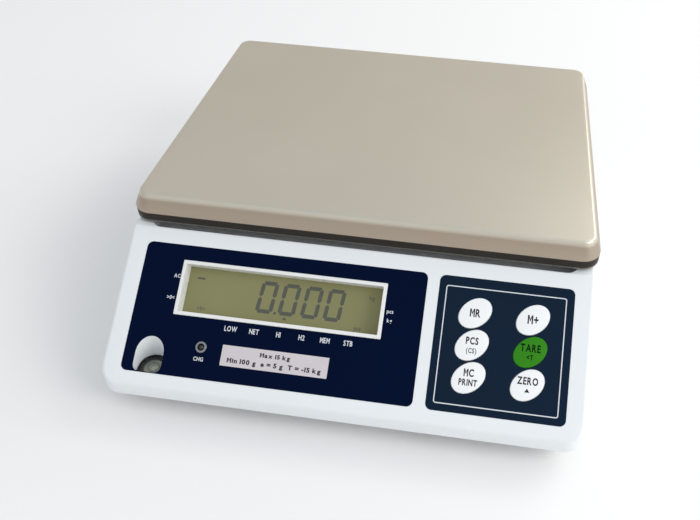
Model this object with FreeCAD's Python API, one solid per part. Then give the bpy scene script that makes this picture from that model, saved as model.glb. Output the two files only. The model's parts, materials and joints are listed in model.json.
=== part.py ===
import FreeCAD, Part
import math
import os

from FreeCAD import Vector

# Table-top electronic weighing scale: stainless pan on a load-cell platform, white plastic housing
# with a sloped front panel. Millimetres, +Z up, origin on the table under the middle of the scale,
# front panel towards -Y.

# --- driving dimensions ---------------------------------------------------------------------------
pan_width = 300.0          # flat top of the pan, along X
pan_depth = 230.0          # flat top of the pan, along Y
pan_front = -70.5          # front edge of the flat top
pan_top = 106.0            # height of the weighing surface above the table
pan_flare = 5.0            # how far the flange leans outwards
pan_flange = 11.2          # height of the leaning flange
pan_lip = 7.4              # upright lip under the flange
pan_sheet = 1.0
pan_corner = 8.0
pan_fold = 2.0

housing_width = 307.0
housing_front = -164.5
housing_rear = 158.5
housing_corner = 12.0
base_bottom = 11.0
seam = 17.0                # parting line between the two shells
deck_top = 85.2
pool = (-142.0, -78.0, 142.0, 147.0)   # sunken part of the deck under the pan: x, y, x, y
pool_corner = 8.0
pool_floor = 76.4
ridge_y = -78.5            # where the deck meets the sloped panel
slope = 34.43              # panel angle above horizontal, degrees
wall = 2.5
panel_wall = 4.0
edge_round = 3.0
floor_wall = 3.0

overlay_thick = 0.6
overlay_top = 9.9          # distances s are measured down the panel from the ridge
overlay_bottom = 95.2
overlay_a = (-140.3, 47.3)
overlay_b = (55.0, 141.0)
overlay_gap = 0.15

window_centre = (-45.6, 38.1)
window_size = (135.6, 36.2)
window_rim = 2.4
window_depth = 8.0
bezel_proud = 0.8

key_columns = (79.6, 116.0)
key_rows = (32.4, 52.7, 73.0)
key_axes = (11.5, 8.4)     # half lengths of the oval keys
key_tilt = 41.0
key_names = (("key_recall", "key_count", "key_clear"), ("key_add", "key_tare", "key_zero"))
key_proud = 0.3
key_gap = 0.3
keypad_depth = 2.2

tail_x = 84.0              # flat cable of the keypad
header_x = 3.4             # flat cable of the display

well_x = -123.6
well_y = -146.7
well_radius = 9.1
well_front = -156.3
well_corner = 4.0
well_wall = 1.8
vial_top = 25.0

lamp_at = (-90.9, 75.0)
plate_at = (-42.5, 78.2)
plate_size = (69.0, 13.1)

cell_length = 130.0
cell_width = 30.0
cell_height = 24.0
cell_bottom = 45.0
platform_gap = 0.8         # free travel to the overload stops
platform_bottom = 93.0
platform_plate = 99.0
platform_top = 103.0

foot_places = {"front_left": (-132.0, -112.0), "front_right": (132.0, -112.0),
               "rear_left": (-138.0, 138.0), "rear_right": (138.0, 138.0)}
stud_radius = 4.0
stud_clearance = 0.1
shell_screws = [(-143.0, -60.0), (143.0, -60.0), (-143.0, 60.0), (143.0, 60.0),
                (-60.0, -152.0), (60.0, -152.0), (-114.0, 149.0), (48.5, 149.0)]
stop_places = [(x, 44.5 + y) for x in (-115.0, 115.0) for y in (-82.0, 82.0)]

battery_box = (-103.0, 81.0, 15.0, 101.0, 70.0, 47.0)   # x, y, z, length, depth, height
rear_jack = (62.0, 36.0)    # x and z on the rear wall
rear_serial = (25.0, 36.0)
rear_switch = (105.0, 36.0)
rocker_throw = 20.0         # degrees between off and on
board_z = 24.0              # underside of the main board
board_area = (-6.0, -120.0, 106.0, -42.0)   # x, y, x, y
floor_ribs = (-116.0, -26.0)                # y of the ribs that run along X
long_ribs = (-70.0, 75.0)                   # x of the ribs that run along Y
bay_gap = 1.0              # room round the battery
bay_wall = 2.0
clear = 0.2

pan_centre_y = pan_front + pan_depth / 2


# --- small builders -------------------------------------------------------------------------------
def box(x0, y0, z0, x1, y1, z1):
    return Part.makeBox(x1 - x0, y1 - y0, z1 - z0, Vector(x0, y0, z0))


def rod(x, y, z0, z1, radius):
    return Part.makeCylinder(radius, z1 - z0, Vector(x, y, z0))


def join(shapes):
    whole = shapes[0]
    for extra in shapes[1:]:
        whole = whole.fuse(extra)
    return whole.removeSplitter()


def less(shape, tools):
    for tool in tools:
        shape = shape.cut(tool)
    return shape


def group(shapes):
    """Separate solids that share one node."""
    return Part.makeCompound(shapes)


def round_wire(cx, cy, width, depth, radius, z):
    """Closed outline of a rectangle with round corners, at height z."""
    x, y, c = width / 2, depth / 2, math.sqrt(0.5) * radius
    edges = []
    corners = [(1, 1), (-1, 1), (-1, -1), (1, -1)]
    for i, (sx, sy) in enumerate(corners):
        mx, my = cx + sx * (x - radius), cy + sy * (y - radius)
        side = Vector(mx + sx * radius, my, z)
        end = Vector(mx, my + sy * radius, z)
        middle = Vector(mx + sx * c, my + sy * c, z)
        first, last = (side, end) if sx * sy > 0 else (end, side)
        edges.append(Part.Arc(first, middle, last).toShape())
        nx, ny = corners[(i + 1) % 4]
        ox, oy = cx + nx * (x - radius), cy + ny * (y - radius)
        start = Vector(ox, oy + ny * radius, z) if sx * sy > 0 else Vector(ox + nx * radius, oy, z)
        edges.append(Part.LineSegment(last, start).toShape())
    return Part.Wire(edges)


def round_slab(cx, cy, width, depth, radius, z0, z1):
    wire = round_wire(cx, cy, width, depth, radius, z0)
    return Part.Face(wire).extrude(Vector(0, 0, z1 - z0))


def skin(wires):
    return Part.makeLoft(wires, True, True)


def oval(cx, cy, half_long, half_short, tilt, z0, z1):
    curve = Part.Ellipse(Vector(0, 0, 0), half_long, half_short)
    edge = curve.toShape()
    edge.rotate(Vector(0, 0, 0), Vector(0, 0, 1), tilt)
    edge.translate(Vector(cx, cy, z0))
    return Part.Face(Part.Wire([edge])).extrude(Vector(0, 0, z1 - z0))


def hexagon(x, y, z0, z1, across):
    radius = across / math.sqrt(3)
    points = [Vector(x + radius * math.cos(math.radians(60 * k)),
                     y + radius * math.sin(math.radians(60 * k)), z0) for k in range(7)]
    return Part.Face(Part.makePolygon(points)).extrude(Vector(0, 0, z1 - z0))


def on_panel(shape):
    """From panel coordinates (X, Y up the slope from the ridge, Z outwards) to the scale's own."""
    shape = shape.copy()
    shape.rotate(Vector(0, 0, 0), Vector(1, 0, 0), slope)
    shape.translate(Vector(0, ridge_y, deck_top))
    return shape


def to_rear(shape, x, z):
    """From a model that faces +Z at the origin to one that faces +Y on the rear wall."""
    shape = shape.copy()
    shape.rotate(Vector(0, 0, 0), Vector(1, 0, 0), -90)
    shape.translate(Vector(x, housing_rear, z))
    return shape


def cable(points, diameter):
    """Round cable: straight runs joined by tangent arcs as large as the runs allow."""
    points = [Vector(*p) for p in points]
    edges, start, radii = [], points[0], []
    for a, b, c in zip(points, points[1:], points[2:]):
        into, out = (b - a), (c - b)
        turn = into.getAngle(out)
        cut = 0.45 * min(into.Length, out.Length)
        into.normalize()
        out.normalize()
        p, q = b - into * cut, b + out * cut
        radius = cut / math.tan(turn / 2)
        bow = (out - into).normalize()
        centre = b + bow * math.hypot(radius, cut)
        edges.append(Part.LineSegment(start, p).toShape())
        edges.append(Part.Arc(p, centre - bow * radius, q).toShape())
        start = q
        radii.append(round(radius, 1))
    edges.append(Part.LineSegment(start, points[-1]).toShape())
    spine = Part.Wire(edges)
    face = Part.Wire([Part.makeCircle(diameter / 2, points[0], points[1] - points[0])])
    tube = spine.makePipeShell([face], True, False, 2)
    print("cable", diameter, "length", round(spine.Length, 1), "radii", radii,
          "volume ratio", round(tube.Volume / (math.pi * diameter ** 2 / 4 * spine.Length), 3))
    return tube


def ribbon(points, width, thick):
    """Flat flexible cable bent along points in a plane of constant x, its width along X."""
    x = points[0][0]
    sides = []
    for sign in (1, -1):
        line = []
        for i, p in enumerate(points):
            a = points[max(i - 1, 0)]
            b = points[min(i + 1, len(points) - 1)]
            d = Vector(0, b[1] - a[1], b[2] - a[2]).normalize()
            n = Vector(0, -d.z, d.y) * (sign * thick / 2)
            line.append(Vector(x - width / 2, p[1] + n.y, p[2] + n.z))
        sides.append(line)
    loop = sides[0] + sides[1][::-1] + [sides[0][0]]
    return Part.Face(Part.makePolygon(loop)).extrude(Vector(width, 0, 0))


# --- pan and platform -----------------------------------------------------------------------------
def pan_layers(inset_top, inset_mid, z_top, z_mid, z_low):
    layers = []
    for inset, flare, z in ((inset_top, 0, z_top), (inset_mid, pan_flare, z_mid),
                            (inset_mid, pan_flare, z_low)):
        layers.append(round_wire(0, pan_centre_y, pan_width + 2 * (flare - inset),
                                 pan_depth + 2 * (flare - inset), pan_corner + flare - inset, z))
    return layers


def pan():
    lean = pan_flare / pan_flange
    z_mid, z_low = pan_top - pan_flange, pan_top - pan_flange - pan_lip
    outer = skin(pan_layers(0, 0, pan_top, z_mid, z_low))
    rim = [e for e in outer.Edges if e.BoundBox.ZMin > pan_top - 0.01]
    outer = outer.makeFillet(pan_fold, rim)
    normal_shift = pan_sheet * math.hypot(1, lean)
    inset_top = normal_shift - pan_sheet * lean
    z_in = pan_top - (pan_flare - pan_sheet + normal_shift) / lean
    inner = skin(pan_layers(inset_top, pan_sheet, pan_top - pan_sheet, z_in, z_low - 1))
    return outer.cut(inner)


def platform():
    """Die-cast carrier under the pan, ribbed underneath, with a boss for the load cell riser."""
    w, d, r = pan_width - 3.0, pan_depth - 3.0, pan_corner
    cy, rib = pan_centre_y, 3.0
    plate = round_slab(0, cy, w, d, r, platform_plate, platform_top)
    skirt = round_slab(0, cy, w, d, r, platform_bottom, platform_plate)
    skirt = skirt.cut(round_slab(0, cy, w - 2 * rib, d - 2 * rib, r - rib, platform_bottom,
                                 platform_plate))
    ribs = [box(-w / 2 + rib, cy + y - rib / 2, platform_bottom, w / 2 - rib, cy + y + rib / 2,
                platform_plate) for y in (-70, -23.5, 23.5, 70)]
    ribs += [box(x - rib / 2, cy - d / 2 + rib, platform_bottom, x + rib / 2, cy + d / 2 - rib,
                 platform_plate) for x in (-100, -33, 33, 100)]
    bosses = [rod(x, y, platform_bottom, platform_plate, 8.0) for x, y in stop_places]
    riser_pad = box(30, cy - 20, platform_bottom, 70, cy + 20, platform_plate)
    whole = join([plate, skirt] + ribs + bosses + [riser_pad])
    pockets = [rod(x, y, platform_top - 1, platform_top + 1, 9.1) for x, y in pad_places()]
    bolts = [rod(x, cy, platform_bottom - 1, platform_top + 1, 3.2) for x in riser_bolts()]
    heads = [rod(x, cy, platform_top - 3.5, platform_top + 1, 6.0) for x in riser_bolts()]
    return less(whole, pockets + bolts + heads)


def pad_places():
    return [(x, pan_centre_y + y) for x in (-132.0, 132.0) for y in (-97.0, 97.0)]


def pan_pads():
    under_pan = pan_top - pan_sheet
    pads = []
    for x, y in pad_places():
        pad = rod(x, y, platform_top - 1, under_pan, 9.0)
        top = [e for e in pad.Edges if e.BoundBox.ZMin > under_pan - 0.01]
        pads.append(pad.makeChamfer(0.5, top))
    return group(pads)


def riser_bolts():
    return (42.0, 58.0)


def riser():
    """Aluminium block between the moving end of the load cell and the platform."""
    half = cell_width / 2
    block = box(34, pan_centre_y - half, cell_bottom + cell_height, 66, pan_centre_y + half,
                platform_bottom)
    holes = [rod(x, pan_centre_y, cell_bottom, platform_top, 3.2) for x in riser_bolts()]
    block = less(block, holes)
    upright = [e for e in block.Edges if e.BoundBox.ZLength > 20 and e.Curve.TypeId == "Part::GeomLine"
               and abs(abs(e.BoundBox.YMin - pan_centre_y) - half) < 0.1]
    return block.makeChamfer(1.5, upright)


def socket_screw(x, y, z_head, z_tip, radius):
    """Cap screw standing on its tip: head above z_head when z_tip is lower, below it when higher."""
    up = 1 if z_tip < z_head else -1
    tall, wide = radius * 1.1, radius * 1.75
    low, high = sorted((z_head, z_head + up * tall))
    head = rod(x, y, low, high, wide)
    shank = rod(x, y, min(z_tip, z_head), max(z_tip, z_head), radius)
    key = hexagon(x, y, high - 0.6 * tall if up > 0 else low, high if up > 0 else low + 0.6 * tall,
                  radius * 1.6)
    return join([head, shank]).cut(key)


def riser_screws():
    return group([socket_screw(x, pan_centre_y, platform_top - 3.5, cell_bottom + 10, 3.0)
                  for x in riser_bolts()])


# --- load cell and chassis ------------------------------------------------------------------------
def load_cell():
    """Single-point aluminium beam with the double bored-out flexure."""
    half, h = cell_length / 2, cell_height
    y0, y1 = pan_centre_y - cell_width / 2, pan_centre_y + cell_width / 2
    body = box(-half, y0, cell_bottom, half, y1, cell_bottom + h)
    mid = cell_bottom + h / 2
    bores = [Part.makeCylinder(8.5, cell_width, Vector(x, y0, mid), Vector(0, 1, 0))
             for x in (-16.0, 16.0)]
    slot = box(-16, y0, mid - 4, 16, y1, mid + 4)
    wells = [rod(x, pan_centre_y, cell_bottom + 8, cell_bottom + h + 1, 3.05) for x in riser_bolts()]
    wells += [rod(-x, pan_centre_y, cell_bottom - 1, cell_bottom + h - 8, 3.05)
              for x in riser_bolts()]
    wire_hole = Part.makeCylinder(2.1, 12, Vector(-half, pan_centre_y, mid), Vector(1, 0, 0))
    return less(body, bores + [slot] + wells + [wire_hole])


def gauge_covers():
    """White silicone over the strain gauges, above and below the flexure."""
    top = cell_bottom + cell_height
    half = cell_width / 2 - 4
    pieces = []
    for x in (-16.0, 16.0):
        for z0, z1 in ((top, top + 1.2), (cell_bottom - 1.2, cell_bottom)):
            pieces.append(round_slab(x, pan_centre_y, 16, 2 * half, 3, z0, z1))
    return group(pieces)


def pedestal():
    """Aluminium block that lifts the fixed end of the load cell off the chassis plate."""
    half = cell_width / 2
    block = box(-66, pan_centre_y - half, 23, -34, pan_centre_y + half, cell_bottom)
    return less(block, [rod(-x, pan_centre_y, 20, cell_bottom + 1, 3.2) for x in riser_bolts()])


def chassis_bolts():
    return [(x, pan_centre_y + y) for x in (-85.0, 85.0) for y in (-26.0, 26.0)]


def chassis():
    plate = round_slab(0, pan_centre_y, 186, 66, 6, 20, 23)
    holes = [rod(x, y, 19, 24, 2.2) for x, y in chassis_bolts()]
    holes += [rod(-x, pan_centre_y, 19, 24, 3.2) for x in riser_bolts()]
    window = round_slab(25, pan_centre_y, 70, 34, 5, 19, 24)
    return less(plate, holes + [window])


def chassis_screws():
    return group([socket_screw(x, y, 23, 15.5, 2.0) for x, y in chassis_bolts()])


def pedestal_screws():
    return group([socket_screw(-x, pan_centre_y, 20, cell_bottom + 14, 3.0) for x in riser_bolts()])


# --- housing --------------------------------------------------------------------------------------
def side_profile(front, rear, top, panel_drop, low):
    """Side outline as a face in the YZ plane; panel_drop lowers the sloped panel along its normal."""
    rise = math.tan(math.radians(slope))
    shift = panel_drop / math.cos(math.radians(slope))
    z_front = deck_top - shift - (ridge_y - front) * rise
    y_ridge = ridge_y + (top - deck_top + shift) / rise
    points = [(front, low), (front, z_front), (y_ridge, top), (rear, top), (rear, low)]
    loop = [Vector(0, y, z) for y, z in points]
    return Part.Face(Part.makePolygon(loop + [loop[0]]))


def shell_block(inset, panel_drop, low, rounded):
    half = housing_width / 2 - inset
    front, rear, top = housing_front + inset, housing_rear - inset, deck_top - inset
    side = side_profile(front, rear, top, panel_drop, low)
    side.translate(Vector(-half, 0, 0))
    prism = side.extrude(Vector(2 * half, 0, 0))
    plan = round_slab(0, (front + rear) / 2, 2 * half, rear - front, housing_corner - inset, low,
                      top + 1)
    block = prism.common(plan).removeSplitter()
    if rounded:
        edges = [e for e in block.Edges if e.BoundBox.ZMin > low + 0.1
                 and not (e.BoundBox.XLength < 0.01 and e.BoundBox.YLength < 0.01)]
        block = block.makeFillet(edge_round, edges)
    return block


def well_shape(grow, z0, z1):
    """Sight well of the level, seen from above: round at the back, straight sides, square front."""
    r = well_radius + grow
    front = well_front - grow
    low = Part.makeCylinder(r, z1 - z0, Vector(well_x, well_y, z0))
    body = box(well_x - r, front, z0, well_x + r, well_y, z1)
    corners = [e for e in body.Edges if e.BoundBox.ZLength > 1 and e.BoundBox.YMin < front + 0.1]
    return join([low, body.makeFillet(well_corner + grow, corners)])


def panel_rect(x0, x1, s0, s1, radius, z0, z1):
    return round_slab((x0 + x1) / 2, -(s0 + s1) / 2, x1 - x0, s1 - s0, radius, z0, z1)


def window_slab(grow, z0, z1, radius=0.6):
    (cx, s), (w, h) = window_centre, window_size
    return round_slab(cx, -s, w + 2 * grow, h + 2 * grow, radius + max(grow, 0), z0, z1)


def key_places():
    return {key_names[i][j]: (x, -s) for i, x in enumerate(key_columns)
            for j, s in enumerate(key_rows)}


def display_posts():
    cx, s = window_centre
    return [(cx + x, -s + y) for x in (-76.0, 76.0) for y in (-19.0, 19.0)]


def d_outline(width, height, z0, z1):
    """D-shaped connector outline, wide side up."""
    w, h, lean = width / 2, height / 2, 1.3
    points = [(-w, h), (w, h), (w - lean, -h), (-w + lean, -h)]
    loop = [Vector(x, y, z0) for x, y in points]
    solid = Part.Face(Part.makePolygon(loop + [loop[0]])).extrude(Vector(0, 0, z1 - z0))
    return solid.makeFillet(1.2, [e for e in solid.Edges if e.BoundBox.ZLength > 1])


def rear_openings():
    deep = -wall - 1
    serial = [d_outline(20.6, 11.6, deep, 1)] + [rod(x, 0, deep, 1, 2.95) for x in (-12.5, 12.5)]
    return ([to_rear(s, *rear_serial) for s in serial]
            + [to_rear(rod(0, 0, deep, 1, 4.6), *rear_jack),
               to_rear(box(-9.7, -6.6, deep, 9.7, 6.6, 1), *rear_switch)])


def pool_slab(grow, z0, z1):
    x0, y0, x1, y1 = pool
    return round_slab((x0 + x1) / 2, (y0 + y1) / 2, x1 - x0 + 2 * grow, y1 - y0 + 2 * grow,
                      pool_corner + grow, z0, z1)


def level_well():
    """Short sight tube between the panel and the bubble level."""
    tube = well_shape(well_wall, vial_top + 1, deck_top)
    tube = tube.common(shell_block(wall, panel_wall + 0.02, seam, False))
    return tube.cut(well_shape(0, vial_top, deck_top))


def top_shell():
    outer = shell_block(0, 0, seam, True)
    inner = shell_block(wall, panel_wall, seam - 1, False)
    inner = inner.cut(pool_slab(wall, pool_floor - wall, deck_top))
    shell = outer.cut(inner).cut(pool_slab(0, pool_floor, deck_top + 1))
    posts = [rod(x, y, seam, deck_top - 1, 4.0) for x, y in shell_screws]
    posts = [p.common(outer).cut(pool_slab(0, pool_floor, deck_top)) for p in posts]
    studs = [on_panel(rod(x, y, -15.9, -1, 3.5)) for x, y in display_posts()]
    shell = join([shell] + posts + studs)
    low, high = pool_floor - wall - 1, pool_floor + 1
    riser_hole = round_slab(50, pan_centre_y, 46, 44, 6, low, high)
    stop_holes = [rod(x, y, low, high, 7.0) for x, y in stop_places]
    pilots = [rod(x, y, seam - 1, seam + 16, 1.5) for x, y in shell_screws]
    recess_a = panel_rect(*overlay_a, overlay_top, overlay_bottom, 4, -overlay_thick, 5)
    recess_b = panel_rect(*overlay_b, overlay_top, overlay_bottom, 4, -keypad_depth, 5)
    tail_slot = box(tail_x - 8, -91, -panel_wall - 2, tail_x + 8, -89, 0)
    lamp_hole = rod(lamp_at[0], -lamp_at[1], -panel_wall - 1, 1, 2.9)
    pilot_posts = [rod(x, y, -17, -9, 1.2) for x, y in display_posts()]
    panel_cuts = [on_panel(s) for s in [recess_a, recess_b, tail_slot, lamp_hole,
                                        window_slab(clear, -panel_wall - 2, 5)] + pilot_posts]
    well = well_shape(0, vial_top, deck_top)
    return less(shell, [riser_hole, well] + stop_holes + pilots + panel_cuts + rear_openings())


def base_shell():
    full_w, full_d = housing_width, housing_rear - housing_front
    cy, inset = (housing_front + housing_rear) / 2, 4.0
    tray = skin([round_wire(0, cy, full_w - 2 * inset, full_d - 2 * inset, housing_corner - inset,
                            base_bottom),
                 round_wire(0, cy, full_w, full_d, housing_corner, seam)])
    floor = base_bottom + floor_wall
    hollow = round_slab(0, cy, full_w - 14, full_d - 14, 7, floor, seam + 1)
    tray = tray.cut(hollow)
    lip_in = wall + clear
    lip = round_slab(0, cy, full_w - 2 * lip_in, full_d - 2 * lip_in, housing_corner - lip_in,
                     seam, seam + 3)
    lip = lip.cut(round_slab(0, cy, full_w - 2 * lip_in - 4, full_d - 2 * lip_in - 4,
                             housing_corner - lip_in - 2, seam - 1, seam + 4))
    foot_boss = [rod(x, y, floor, 26, 9.0) for x, y in foot_places.values()]
    chassis_boss = [rod(x, y, floor, 20, 5.0) for x, y in chassis_bolts()]
    towers = [rod(x, y, floor, 78, 6.5) for x, y in stop_places]
    x, y, z, length, depth, height = battery_box
    gap = bay_gap
    room = gap + bay_wall
    bay = box(x - room, y - room, floor, x + length + room, y + depth + room, 46)
    bay = bay.cut(box(x - gap, y - gap, floor - 1, x + length + gap, y + depth + gap, 47))
    ribs = [box(-140, y0 - 1, floor, 140, y0 + 1, seam + 1) for y0 in floor_ribs]
    ribs += [box(x0 - 1, -158, floor, x0 + 1, -8, seam + 1) for x0 in long_ribs]
    board_boss = [rod(px, py, floor, board_z, 3.5) for px, py in board_screw_places()]
    vial_seat = rod(well_x, well_y, floor, 15.0, 10.0)
    shell_seat = [rod(px, py, floor, seam, 5.0) for px, py in shell_screws]
    whole = join([tray, lip, bay, vial_seat] + foot_boss + chassis_boss + towers + ribs + board_boss
                 + shell_seat)
    cuts = [rod(px, py, base_bottom - 1, 27, 6.5) for px, py in foot_places.values()]
    cuts += [rod(px, py, 14.5, 21, 2.05) for px, py in chassis_bolts()]
    cuts += [rod(px, py, 56, 79, 2.5) for px, py in stop_places]
    cuts += [rod(px, py, base_bottom - 1, seam + 1, 1.8) for px, py in shell_screws]
    cuts += [rod(px, py, base_bottom - 1, base_bottom + 2, 3.4) for px, py in shell_screws]
    cuts += [rod(px, py, 16, board_z + 1, 1.2) for px, py in board_screw_places()]
    cuts.append(rod(well_x, well_y, 14.2, 15.5, 8.6))
    cuts.append(box(x - gap, y - gap, base_bottom - 1, x + length + gap, y + depth + gap,
                    floor + 1))
    cuts += [rod(px, pan_centre_y, base_bottom - 1, floor + 1, 7.0) for px in (-42.0, -58.0)]
    # shallow grip for the battery cover's finger tab
    cuts.append(round_slab(x + length + gap + 6, y + depth / 2, 16, 20, 4, base_bottom - 1,
                           base_bottom + 1.6))
    return less(whole, cuts)


def shell_screw_set():
    screws = []
    for x, y in shell_screws:
        head = rod(x, y, base_bottom + 0.3, base_bottom + 2, 3.0)
        shank = rod(x, y, base_bottom + 2, seam + 14, 1.45)
        slot = join([box(x - 2, y - 0.4, base_bottom, x + 2, y + 0.4, base_bottom + 1.2),
                     box(x - 0.4, y - 2, base_bottom, x + 0.4, y + 2, base_bottom + 1.2)])
        screws.append(join([head, shank]).cut(slot))
    return group(screws)


def overload_stops():
    """Steel stop screws with lock nuts; their tips wait just under the platform bosses."""
    stops = []
    for x, y in stop_places:
        shank = rod(x, y, 58, platform_bottom - platform_gap, 2.45)
        nut = hexagon(x, y, 78, 82, 8.0)
        cap = rod(x, y, platform_bottom - platform_gap - 2.5, platform_bottom - platform_gap, 4.0)
        stops.append(join([shank, nut, cap]))
    return group(stops)


# --- front panel ----------------------------------------------------------------------------------
def display_overlay():
    x0, x1 = overlay_a
    g = overlay_gap
    film = panel_rect(x0 + g, x1 - g, overlay_top + g, overlay_bottom - g, 4, -overlay_thick, 0)
    film = film.cut(window_slab(clear, -1, 1))
    film = on_panel(film.cut(rod(lamp_at[0], -lamp_at[1], -1, 1, 3.7)))
    return film.cut(well_shape(0.25, vial_top, deck_top))


def display_bezel():
    """White frame whose deep reveal leads down to the display; its ledge lies under the panel."""
    frame = window_slab(0, -window_depth, bezel_proud)
    top = [e for e in frame.Edges if e.BoundBox.ZMin > bezel_proud - 0.01]
    frame = frame.makeFillet(0.5, top)
    ledge = window_slab(2.2, -panel_wall - 1.8, -panel_wall - 0.1)
    opening = window_slab(-window_rim, -window_depth - 1, bezel_proud + 1)
    return on_panel(join([frame, ledge]).cut(opening))


def lcd_glass():
    (cx, s), (w, h) = window_centre, window_size
    return on_panel(round_slab(cx, -s, w + 2, h + 2, 0.5, -window_depth - 2.8,
                               -window_depth - 0.1))


def lcd_backlight():
    (cx, s), (w, h) = window_centre, window_size
    return on_panel(round_slab(cx, -s, w - 2, h - 4, 1, -window_depth - 6.9, -window_depth - 2.9))


def display_board():
    cx, s = window_centre
    board = round_slab(cx, -s, 164, 46, 2, -17.6, -16.0)
    return on_panel(less(board, [rod(x, y, -18, -15, 1.6) for x, y in display_posts()]))


def display_parts():
    """Driver chip, sockets and pin rows soldered on the display board."""
    cx, s = window_centre
    chip = box(cx - 7, -s - 7, -19.2, cx + 7, -s + 7, -17.65)
    header = box(cx + 40, -s - 4, -24, cx + 58, -s + 4, -17.65)
    glass_back = -window_depth - 2.85
    pins = [box(cx - 60 + 5 * k, -s + y, -15.95, cx - 59.4 + 5 * k, -s + y + 0.8, glass_back)
            for k in range(25) for y in (-18.6, 17.8)]
    return [on_panel(part) for part in [chip, header] + pins]


def rating_plate():
    (x, s), (w, h) = plate_at, plate_size
    return on_panel(round_slab(x, -s, w, h, 0.4, 0.02, 0.14))


def charge_lamp():
    x, y = lamp_at[0], -lamp_at[1]
    lens = join([rod(x, y, -6, -1.7, 2.2),
                 Part.makeSphere(2.2, Vector(x, y, -1.8)).common(rod(x, y, -1.8, 2, 2.2)),
                 rod(x, y, -7.2, -6, 2.5)])
    return on_panel(lens)


def lamp_ring():
    x, y = lamp_at[0], -lamp_at[1]
    ring = join([rod(x, y, 0.05, 0.6, 3.6), rod(x, y, -panel_wall - 0.5, 0.05, 2.8)])
    top = [e for e in ring.Edges if e.BoundBox.ZMin > 0.59]
    return on_panel(ring.makeFillet(0.4, top).cut(rod(x, y, -6, 1, 2.35)))


def key_holes(grow, z0, z1):
    a, b = key_axes
    return [oval(x, y, a + grow, b + grow, key_tilt, z0, z1) for x, y in key_places().values()]


def keypad_overlay():
    x0, x1 = overlay_b
    g = overlay_gap
    film = panel_rect(x0 + g, x1 - g, overlay_top + g, overlay_bottom - g, 4, -overlay_thick, 0)
    return on_panel(less(film, key_holes(key_gap, -1, 1)))


def keypad_spacer():
    x0, x1 = overlay_b
    g = overlay_gap
    layer = panel_rect(x0 + g, x1 - g, overlay_top + g, overlay_bottom - g, 4, -1.9,
                       -overlay_thick - 0.02)
    wide = box(62, -86, -2, 134, -20, 0)
    islands = box(94, -86, -2, 101, -20, 0)
    return on_panel(layer.cut(wide.cut(islands)))


def keypad_circuit():
    x0, x1 = overlay_b
    g = overlay_gap
    return on_panel(panel_rect(x0 + g, x1 - g, overlay_top + g, overlay_bottom - g, 4,
                               -keypad_depth, -1.92))


def dome_switches():
    domes = []
    for x, y in key_places().values():
        ball = Part.makeSphere(16.0, Vector(x, y, -1.56 - 16.0))
        domes.append(ball.common(rod(x, y, -1.91, -1.0, 4.0)))
    return on_panel(group(domes))


def key(name):
    """Oval key with a thin retaining foot that stays under the keypad film."""
    x, y = key_places()[name]
    a, b = key_axes
    cap = oval(x, y, a, b, key_tilt, -overlay_thick - 0.1, key_proud)
    top = [e for e in cap.Edges if e.BoundBox.ZMin > key_proud - 0.01]
    cap = cap.makeFillet(0.25, top)
    foot = oval(x, y, a + 0.42, b + 0.42, key_tilt, -1.04, -overlay_thick - 0.1)
    return on_panel(join([cap, foot]))


def panel_point(x, s, depth):
    """Scale coordinates of a point s down the panel and depth below its surface."""
    a, c = math.cos(math.radians(slope)), math.sin(math.radians(slope))
    return (x, ridge_y - s * a + depth * c, deck_top - s * c - depth * a)


def flat_cables():
    """Flexible flat cables from the key circuit and from the display board to the main board."""
    x = tail_x
    keypad = ribbon([panel_point(x, 90, keypad_depth), panel_point(x, 90, 6.0), (x, -142, 28.5),
                     (x, -137, 25.6), (x, -129, 25.4), (x, -120.1, 27.6)], 12.0, 0.25)
    x = header_x
    display = ribbon([panel_point(x, 38.1, 24.05), panel_point(x, 38.1, 27.0), (x, -94.6, 38.0),
                      (x, -98.0, 35.4), (x, -103.0, 35.3), (x, -105.6, 33.8), (x, -106.0, 31.75)],
                     12.0, 0.25)
    return group([keypad, display])


# --- level, boards, battery -----------------------------------------------------------------------
def level_body():
    cup = rod(well_x, well_y, 14.3, vial_top - 1.2, 8.4)
    ring = rod(well_x, well_y, vial_top - 1.2, vial_top, 8.9)
    hollow = rod(well_x, well_y, 17.0, vial_top + 1, 6.4)
    top = [e for e in ring.Edges if e.BoundBox.ZMin > vial_top - 0.01]
    return join([cup, ring.makeFillet(0.6, top)]).cut(hollow)


def level_lens():
    lens = rod(well_x, well_y, vial_top - 2.5, vial_top - 0.9, 6.3)
    dome = Part.makeSphere(60, Vector(well_x, well_y, vial_top - 0.4 - 60))
    crown = dome.common(rod(well_x, well_y, vial_top - 0.95, vial_top, 6.3))
    return join([lens, crown])


def board_screw_places():
    x0, y0, x1, y1 = board_area
    return [(x, y) for x in (x0 + 5, x1 - 5) for y in (y0 + 5, y1 - 5)]


def main_board():
    x0, y0, x1, y1 = board_area
    board = round_slab((x0 + x1) / 2, (y0 + y1) / 2, x1 - x0, y1 - y0, 2, board_z, board_z + 1.6)
    return less(board, [rod(x, y, board_z - 1, board_z + 2, 1.7) for x, y in board_screw_places()])


def board_screw(x, y, seat, up):
    """Pan-head screw whose head rests at seat, head upwards when up is 1 and downwards when -1."""
    low, high = sorted((seat, seat + up * 1.4))
    tip = seat - up * 8.5
    cross = [box(x - 1.3, y - 0.3, low - 1, x + 1.3, y + 0.3, high + 1),
             box(x - 0.3, y - 1.3, low - 1, x + 0.3, y + 1.3, high + 1)]
    band = box(x - 3, y - 3, high - 0.6, x + 3, y + 3, high) if up > 0 else \
        box(x - 3, y - 3, low, x + 3, y + 3, low + 0.6)
    screw = join([rod(x, y, low, high, 2.8), rod(x, y, min(seat, tip), max(seat, tip), 1.15)])
    return less(screw, [c.common(band) for c in cross])


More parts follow.
